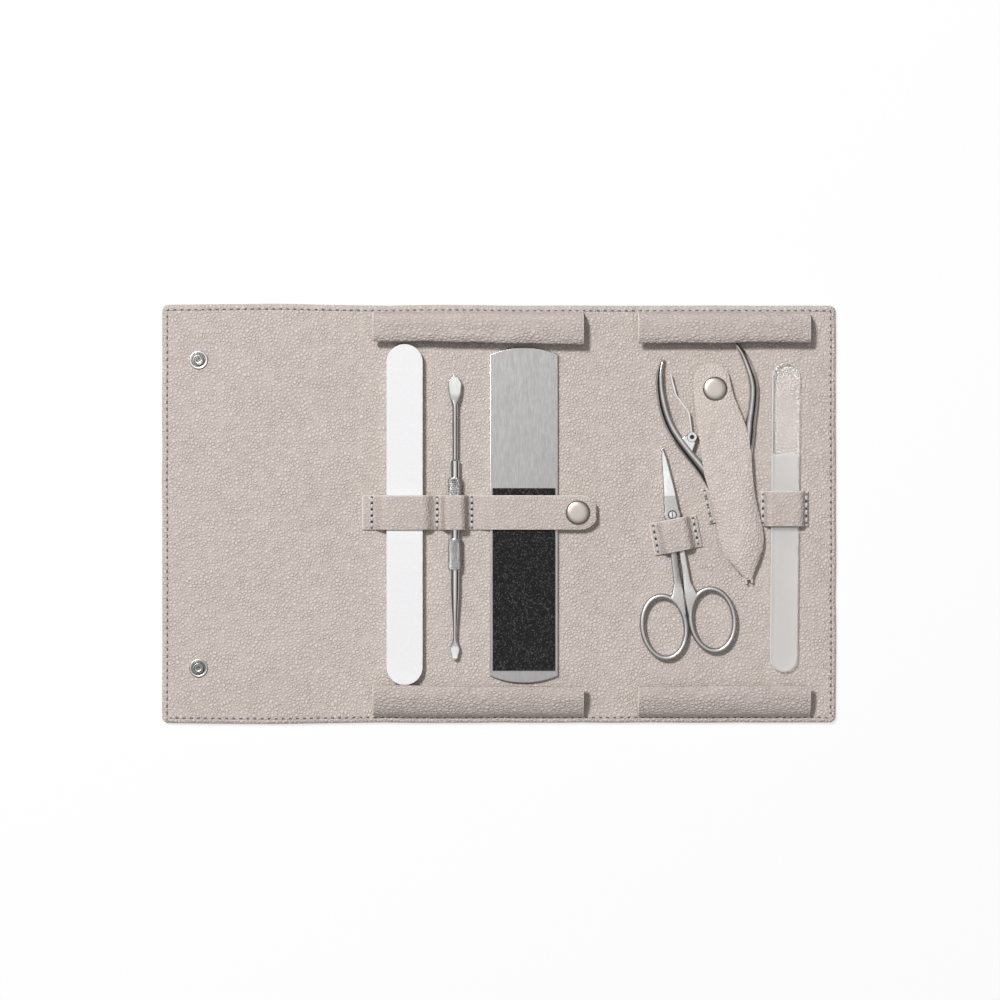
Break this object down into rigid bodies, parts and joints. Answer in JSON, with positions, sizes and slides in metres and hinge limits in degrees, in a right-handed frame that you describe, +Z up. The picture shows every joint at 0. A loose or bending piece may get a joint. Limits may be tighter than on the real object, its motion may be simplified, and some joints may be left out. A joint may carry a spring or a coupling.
{
  "type": "manicure set case",
  "caption": "Fold-over leather manicure case, open and flat, with sewn straps, press-stud closures and its files, cuticle pusher, scissors and nippers.",
  "frame": {"origin": "centre of the underside of the open case", "axes": "+X to the right of the open case, +Y to its top edge, +Z up"},
  "size_m": [0.2966, 0.1836, 0.0107],
  "materials": {
    "cover_leather": "pebbled taupe leather, satin",
    "lining_leather": "pebbled taupe leather, satin",
    "strap_leather": "fine-grained taupe leather",
    "interlining": "pressed felt",
    "snap_metal": "satin nickel plate",
    "file_core": "white foam",
    "white_grit": "fine white grit",
    "polished_steel": "polished, knurled grips",
    "brushed_plate": "brushed lengthwise",
    "black_grit": "coarse black grit",
    "satin_steel": "satin blasted steel",
    "file_glass": "clear handle, frosted filing face"
  },
  "bodies": {
    "centre_panel": {"cover_centre": "cover_leather", "interlining_centre": "interlining", "lining_centre": "lining_leather", "file_strap": "strap_leather", "strap_snap_stud": "snap_metal", "strap_snap_rivet": "snap_metal"},
    "left_spine": {"cover_left_spine": "cover_leather", "interlining_left_spine": "interlining", "lining_left_spine": "lining_leather"},
    "left_flap": {"cover_left_flap": "cover_leather", "interlining_left_flap": "interlining", "lining_left_flap": "lining_leather", "closing_studs": "snap_metal", "closing_stud_rivets": "snap_metal"},
    "right_spine": {"cover_right_spine": "cover_leather", "interlining_right_spine": "interlining", "lining_right_spine": "lining_leather"},
    "right_panel": {"cover_right_panel": "cover_leather", "interlining_right_panel": "interlining", "lining_right_panel": "lining_leather", "closing_sockets": "snap_metal", "closing_socket_eyelets": "snap_metal", "scissors_loop": "strap_leather", "glass_file_loop": "strap_leather", "nipper_sheath": "strap_leather", "nipper_snap_stud": "snap_metal", "nipper_snap_rivet": "snap_metal"},
    "top_centre_flap": {"end_flap_top_centre": "strap_leather"},
    "bottom_centre_flap": {"end_flap_bottom_centre": "strap_leather"},
    "top_right_flap": {"end_flap_top_right": "strap_leather"},
    "bottom_right_flap": {"end_flap_bottom_right": "strap_leather"},
    "strap_tail": {"file_strap_tail": "strap_leather", "strap_snap_cap": "snap_metal", "strap_snap_socket": "snap_metal"},
    "nail_file": {"nail_file_core": "file_core", "nail_file_front_grit": "white_grit", "nail_file_back_grit": "white_grit"},
    "pusher": {"cuticle_pusher": "polished_steel"},
    "foot_file": {"foot_file_plate": "brushed_plate", "foot_file_pad": "black_grit"},
    "glass_file": {"glass_file": "file_glass"},
    "scissors": {"scissors_lower_half": "satin_steel", "scissors_screw": "satin_steel"},
    "scissors_upper": {"scissors_upper_half": "satin_steel"},
    "nippers": {"nipper_left_half": "satin_steel", "nipper_pivot_pin": "satin_steel", "nipper_spring_pin": "satin_steel"},
    "nipper_right": {"nipper_right_half": "satin_steel"},
    "spring_leaf": {"nipper_spring": "satin_steel"},
    "tongue": {"nipper_tongue": "strap_leather", "nipper_snap_cap": "snap_metal", "nipper_snap_socket": "snap_metal"}
  },
  "joints": [
    {"name": "left_fold", "type": "hinge", "parent": "centre_panel", "child": "left_spine", "pos_m": [-0.062, 0, 0.0032], "axis": [0, 1, 0], "range_deg": [0, 90]},
    {"name": "left_flap_fold", "type": "hinge", "parent": "left_spine", "child": "left_flap", "pos_m": [-0.082, 0, 0.0032], "axis": [0, 1, 0], "range_deg": [0, 90]},
    {"name": "right_fold", "type": "hinge", "parent": "centre_panel", "child": "right_spine", "pos_m": [0.044, 0, 0.0032], "axis": [0, -1, 0], "range_deg": [0, 90]},
    {"name": "right_panel_fold", "type": "hinge", "parent": "right_spine", "child": "right_panel", "pos_m": [0.06, 0, 0.0032], "axis": [0, -1, 0], "range_deg": [0, 90]},
    {"name": "top_centre_flap_turn", "type": "hinge", "parent": "centre_panel", "child": "top_centre_flap", "pos_m": [-0.0091, 0.0886, 0.00445], "axis": [1, 0, 0], "range_deg": [-100, 0]},
    {"name": "bottom_centre_flap_turn", "type": "hinge", "parent": "centre_panel", "child": "bottom_centre_flap", "pos_m": [-0.0091, -0.0886, 0.00445], "axis": [-1, 0, 0], "range_deg": [-100, 0]},
    {"name": "top_right_flap_turn", "type": "hinge", "parent": "right_panel", "child": "top_right_flap", "pos_m": [0.0987, 0.0886, 0.00445], "axis": [1, 0, 0], "range_deg": [-100, 0]},
    {"name": "bottom_right_flap_turn", "type": "hinge", "parent": "right_panel", "child": "bottom_right_flap", "pos_m": [0.0987, -0.0886, 0.00445], "axis": [-1, 0, 0], "range_deg": [-100, 0]},
    {"name": "strap_tail_lift", "type": "hinge", "parent": "centre_panel", "child": "strap_tail", "pos_m": [-0.00915, 0.0007, 0.00385], "axis": [0, 1, 0], "range_deg": [-100, 0]},
    {"name": "nail_file_slide", "type": "slide", "parent": "centre_panel", "child": "nail_file", "axis": [0, 1, 0], "range_m": [-0.007, 0.007]},
    {"name": "pusher_slide", "type": "slide", "parent": "centre_panel", "child": "pusher", "axis": [0, 1, 0], "range_m": [-0.02, 0.02]},
    {"name": "foot_file_slide", "type": "slide", "parent": "centre_panel", "child": "foot_file", "axis": [0, 1, 0], "range_m": [-0.008, 0.008]},
    {"name": "glass_file_slide", "type": "slide", "parent": "right_panel", "child": "glass_file", "axis": [0.0087, 1, 0], "range_m": [-0.014, 0.014]},
    {"name": "scissors_slide", "type": "slide", "parent": "right_panel", "child": "scissors", "axis": [-0.1478, 0.989, 0], "range_m": [-0.018, 0]},
    {"name": "scissors_pivot", "type": "hinge", "parent": "scissors", "child": "scissors_upper", "pos_m": [0.0761, -0.0003, 0.0052], "axis": [0, 0, -1], "range_deg": [-6, 0]},
    {"name": "nipper_slide", "type": "slide", "parent": "right_panel", "child": "nippers", "axis": [0.213, -0.977, 0], "range_m": [-0.008, 0]},
    {"name": "nipper_squeeze", "type": "hinge", "parent": "nippers", "child": "nipper_right", "pos_m": [0.1052, -0.0057, 0.0052], "axis": [0, 0, -1], "range_deg": [-3, 0]},
    {"name": "nipper_spring_swing", "type": "hinge", "parent": "nippers", "child": "spring_leaf", "pos_m": [0.08471, 0.03384, 0.0052], "axis": [0, 0, 1], "range_deg": [-12, 0]},
    {"name": "tongue_lift", "type": "hinge", "parent": "right_panel", "child": "tongue", "pos_m": [0.10017, 0.01736, 0.00784], "axis": [-0.977, -0.213, 0], "range_deg": [-110, 0]}
  ],
  "couplings": [
    {"joint": "left_flap_fold", "follows": "left_fold", "ratio": 1},
    {"joint": "right_panel_fold", "follows": "right_fold", "ratio": 1}
  ]
}
